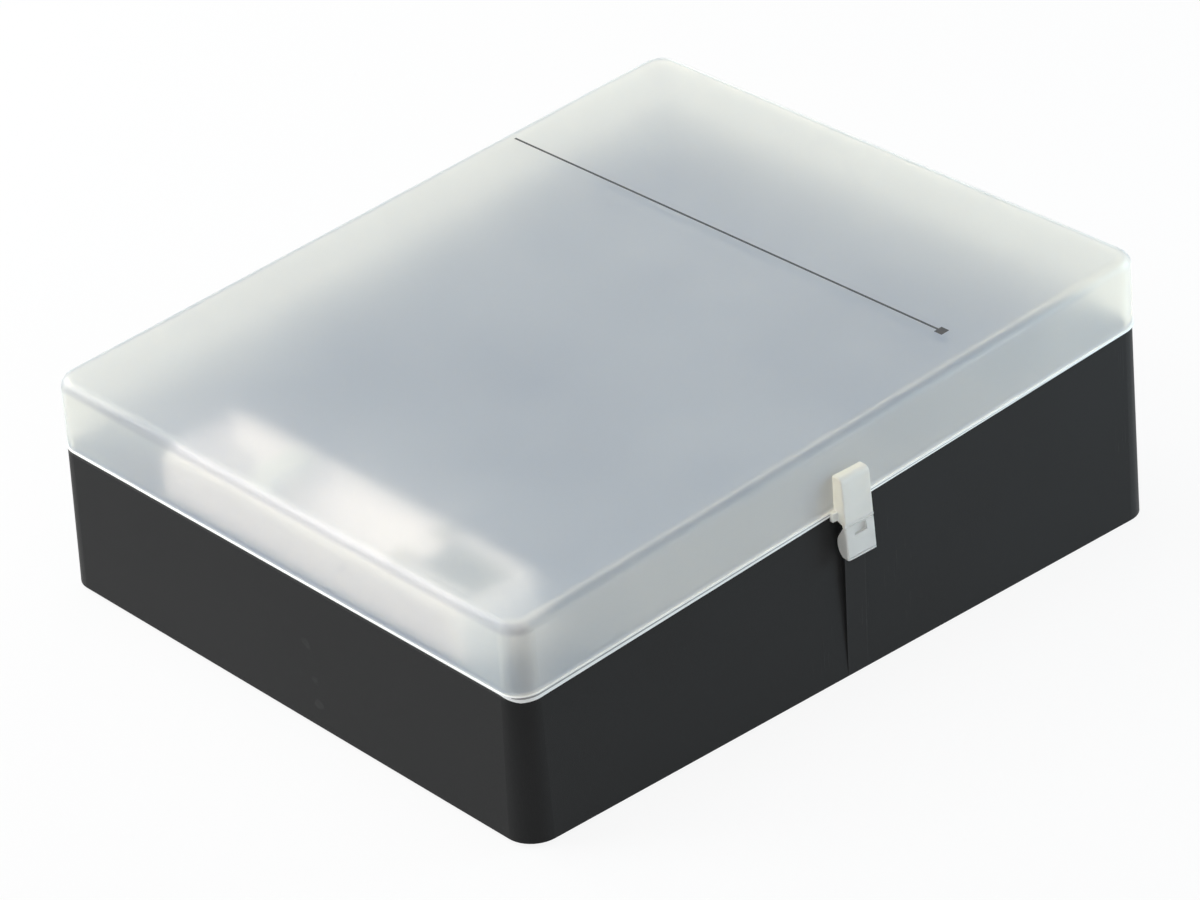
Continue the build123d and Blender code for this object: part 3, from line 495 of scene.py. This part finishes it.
def mesh_piece(name, points, faces, material):
    """A new piece on the lid, given in millimetres."""
    mesh = bpy.data.meshes.new(name)
    mesh.from_pydata([Vector(p) * MM for p in points], [], faces)
    mesh.update()
    mesh.materials.append(material)
    piece = add_object(name, mesh)
    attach(piece, "lid")
    return piece


def lid_top(x, y, lift):
    """A point on the lid's sloped top, lifted off it, in millimetres."""
    return (x, y, LID_TOP_MID / MM + LID_RISE * y + lift)


def printed_stripe():
    """Thin printed line across the lid's top that ends in a small square."""
    low, high = STRIPE_Y - STRIPE_HALF, STRIPE_Y + STRIPE_HALF
    square_low, square_high = STRIPE_Y - SQUARE_HALF, STRIPE_Y + SQUARE_HALF
    square_end = STRIPE_RIGHT + 2 * SQUARE_HALF
    outline = [
        (STRIPE_LEFT, low),
        (STRIPE_RIGHT, low),
        (STRIPE_RIGHT, square_low),
        (square_end, square_low),
        (square_end, square_high),
        (STRIPE_RIGHT, square_high),
        (STRIPE_RIGHT, high),
        (STRIPE_LEFT, high),
    ]
    count = len(outline)
    points = [lid_top(x, y, lift) for lift in (INK_SUNK, INK_PROUD) for x, y in outline]
    faces = [tuple(range(count, 2 * count)), tuple(reversed(range(count)))]
    faces += [(i, (i + 1) % count, count + (i + 1) % count, count + i) for i in range(count)]
    mesh_piece("printed_stripe", points, faces, black_ink())


def lid_shell():
    """The lid's own shape, frosted outside and polished inside."""
    piece = add_object("lid_shell", NODES["lid"].data.copy())
    piece.data.materials.clear()
    piece.data.materials.append(frosted_lid())
    piece.data.materials.append(polished_inside())
    hollow = Vector((0, 0, RIM_MID + 5 * MM))  # a point well inside the lid
    for face in piece.data.polygons:
        inward = face.normal.dot(hollow - face.center) > 0
        face.material_index = int(inward and abs(face.center.x) < LID_HALF_X)
    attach(piece, "lid")
    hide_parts("lid")


def rim_outline(half_x, half_y, radius, steps):
    """Points round a rectangle with rounded corners, from the near right corner on."""
    points = []
    for quarter, (sx, sy) in enumerate(((1, -1), (1, 1), (-1, 1), (-1, -1))):
        for step in range(steps + 1):
            angle = math.radians(90 * (quarter - 1 + step / steps))
            x = sx * (half_x - radius) + radius * math.cos(angle)
            y = sy * (half_y - radius) + radius * math.sin(angle)
            points.append((x, y, angle))
    return points


def lip_drop(y, angle):
    """How far the lid's lower lip hangs: most at the near right corner, nothing past the latch."""
    if angle < 0:
        return min(1.0, (angle / (math.pi / 2) + 1) * 2)
    if angle > 0 or y > 0:
        return 0.0
    return LIP_LEAST_DROP + (1 - LIP_LEAST_DROP) * -y / (LID_HALF_Y / MM)


def half_turn(start, sides):
    """Angles of a half turn, in equal steps."""
    return [start + math.pi * side / sides for side in range(sides + 1)]


def lip_profile(drop):
    """Points round the lip: out and up from its middle, with a groove between its two rims."""
    half_sides = 6
    rim = LIP_RADIUS - LIP_THINNING * drop
    proud = LIP_PROUD * drop
    waist = rim * (1 - 0.5 * min(1.0, drop / FULL_GROOVE_DROP))
    upper = [(rim * math.cos(t), rim * math.sin(t)) for t in half_turn(0, half_sides)]
    lower = [(rim * math.cos(t), rim * math.sin(t)) for t in half_turn(math.pi, half_sides)]
    lower = [(out + proud, up - drop) for out, up in lower]
    return upper + [(-waist, -drop / 2)] + lower + [(waist + proud / 2, -drop / 2)]


def lid_edge():
    """Fine lip along the lid's lower edge, with two rounded rims and a groove between them, painted
    near white for its light, with painted shade in the groove's overhung half.
    """
    corner_steps = 10
    half_x, half_y = LID_HALF_X / MM - LIP_INSET, LID_HALF_Y / MM - LIP_INSET
    outline = rim_outline(half_x, half_y, LID_CORNER / MM, corner_steps)
    points = []
    for x, y, angle in outline:
        level = RIM_MID / MM + LID_RISE * y + LIP_LIFT
        cos, sin = math.cos(angle), math.sin(angle)
        profile = lip_profile(lip_drop(y, angle))
        points += [(x + out * cos, y + out * sin, level + up) for out, up in profile]
    sides = len(points) // len(outline)
    faces = []
    for ring in range(len(outline)):
        here, after = ring * sides, (ring + 1) % len(outline) * sides
        for side in range(sides):
            beside = (side + 1) % sides
            faces.append((here + side, after + side, after + beside, here + beside))
    lip = mesh_piece("lid_edge", points, faces, painted_edge_light())
    lip.data.shade_smooth()
    lip.data.materials.append(painted_groove_shade())
    # The groove's overhung, down-facing half gets the painted shade where the lip hangs low.
    for face in lip.data.polygons:
        side, y, angle = face.index % sides, *outline[face.index // sides][1:]
        face.material_index = int(side == sides - 1 and lip_drop(y, angle) > PAINTED_SHADE_DROP)


def coil_spring():
    """The slider's spring, as a piece of its own that rides on the base."""
    piece = add_object("coil_spring", NODES["slider_spring"].data.copy())
    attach(piece, "base")
    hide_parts("slider_spring")
    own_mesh(piece)


def dress_nodes():
    """Gives every CAD node its finish."""
    trays = ["coin_cell_cup", "d_cell_tray", "c_cell_tray", "aa_cell_tray", "aaa_cell_tray"]
    trays += ["nine_volt_tray"]
    zinc = metal("zinc_screws", (0.62, 0.63, 0.65, 1), 0.3, (1, 1, 6))
    nickel = metal("nickel_contacts", (0.72, 0.69, 0.64, 1), 0.22, (1, 5, 1))
    wire = metal("spring_wire", (0.66, 0.66, 0.67, 1), 0.26, (4, 1, 1))
    finishes = [
        (charcoal_skirt(), ["base_shell", "bottom_plate"]),
        (matt_tray(), trays),
        (satin_white(), ["tester_front_shell", "tester_back_shell"]),
        (natural_latch(), ["latch_bracket", "latch_flap"]),
        (zinc, ["bottom_screws", "tester_screws", "hinge_pin_front", "hinge_pin_back"]),
        (nickel, ["nine_volt_terminals", "fixed_contact", "slider_contact"]),
        (wire, ["slider_spring"]),
        (clear_window(), ["tester_window"]),
        (level_display(), ["tester_display"]),
        (green_board(), ["tester_board"]),
        (slider_grey(), ["test_slider"]),
        (matt_rubber(), ["rubber_feet"]),
    ]
    for material, names in finishes:
        for name in names:
            for slot in NODES[name].material_slots:
                slot.material = material


def soft_lamp(name, place, size, watts, tint):
    """Square soft lamp aimed at the middle of the box."""
    lamp = bpy.data.lights.new(name, "AREA")
    lamp.size = size
    lamp.energy = watts
    lamp.color = tint
    holder = add_object(name, lamp)
    holder.visible_camera = False
    holder.location = place
    aim = Vector(LAMP_AIM) - Vector(place)
    holder.rotation_mode = "QUATERNION"
    holder.rotation_quaternion = aim.to_track_quat("-Z", "Y")


def studio():
    """Floor, white surroundings and soft lamps."""
    floor = bpy.data.meshes.new("studio_floor")
    signs = ((-1, -1), (1, -1), (1, 1), (-1, 1))
    corners = [(x * FLOOR_HALF, y * FLOOR_HALF, FLOOR_LEVEL) for x, y in signs]
    floor.from_pydata(corners, [], [(0, 1, 2, 3)])
    floor.materials.append(pale_floor())
    add_object("studio_floor", floor)
    world = bpy.data.worlds.new("studio_world")
    bpy.context.scene.world = world
    world.use_nodes = True
    world.node_tree.nodes.clear()
    tone = Tone(world.node_tree)
    strength = WORLD_LIGHT + seen_share(tone) * (1 - WORLD_LIGHT)
    sky = tone.node("Background", {}, {"Color": grey(1.0), "Strength": strength})
    tone.node("OutputWorld", {}, {"Surface": sky})
    for name, settings in LAMPS.items():
        soft_lamp(name, *settings)


def camera():
    """Camera at the photograph's angle: long lens, high over the near corner."""
    lens = bpy.data.cameras.new("studio_camera")
    lens.sensor_width = CAMERA_SENSOR
    lens.sensor_fit = "HORIZONTAL"
    lens.lens = CAMERA_LENS
    holder = add_object("studio_camera", lens)
    axes = Matrix((CAMERA_RIGHT, CAMERA_UP, CAMERA_BACK))
    holder.matrix_world = axes.transposed().to_4x4()
    holder.location = CAMERA_PLACE
    bpy.context.scene.camera = holder


camera()
studio()
dress_nodes()
coil_spring()
lid_shell()
lid_edge()
printed_stripe()
bpy.context.scene.view_settings.view_transform = "Standard"
